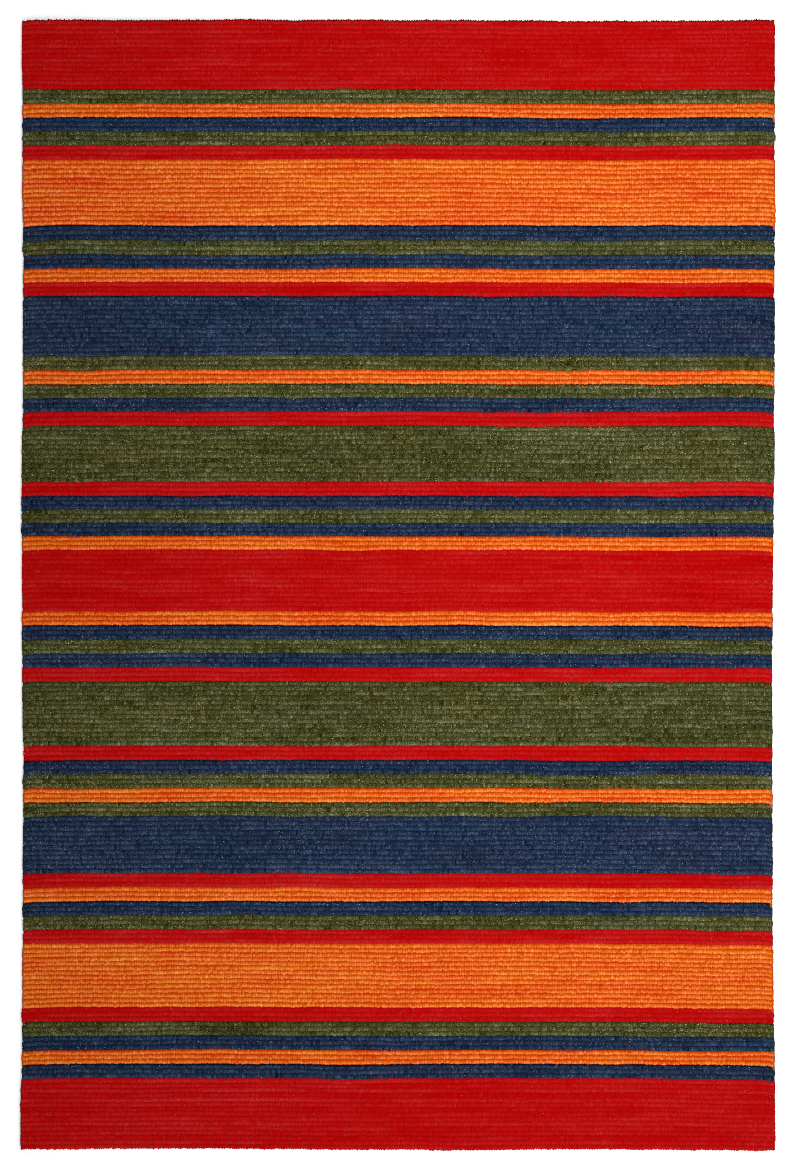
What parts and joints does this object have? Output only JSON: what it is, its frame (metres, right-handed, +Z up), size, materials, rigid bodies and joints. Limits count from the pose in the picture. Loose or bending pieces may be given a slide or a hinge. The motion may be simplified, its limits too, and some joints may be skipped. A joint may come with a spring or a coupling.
{
  "type": "hand-tufted wool rug",
  "caption": "Flat oblong loop-pile wool rug with straight cross stripes in red, orange, green and blue yarn, laid on a floor as a soft covering.",
  "frame": {"origin": "on the floor, under the middle of the rug", "axes": "+Z up out of the pile, +Y along the length towards the head end, X across the width along the rows of loops"},
  "size_m": [1.2, 1.8, 0.012],
  "materials": {
    "wool_red": "matte",
    "wool_orange": "matte",
    "wool_green": "matte",
    "wool_blue": "matte",
    "backing": "matte"
  },
  "bodies": {
    "root": {"rug": "wool_red"}
  },
  "joints": []
}
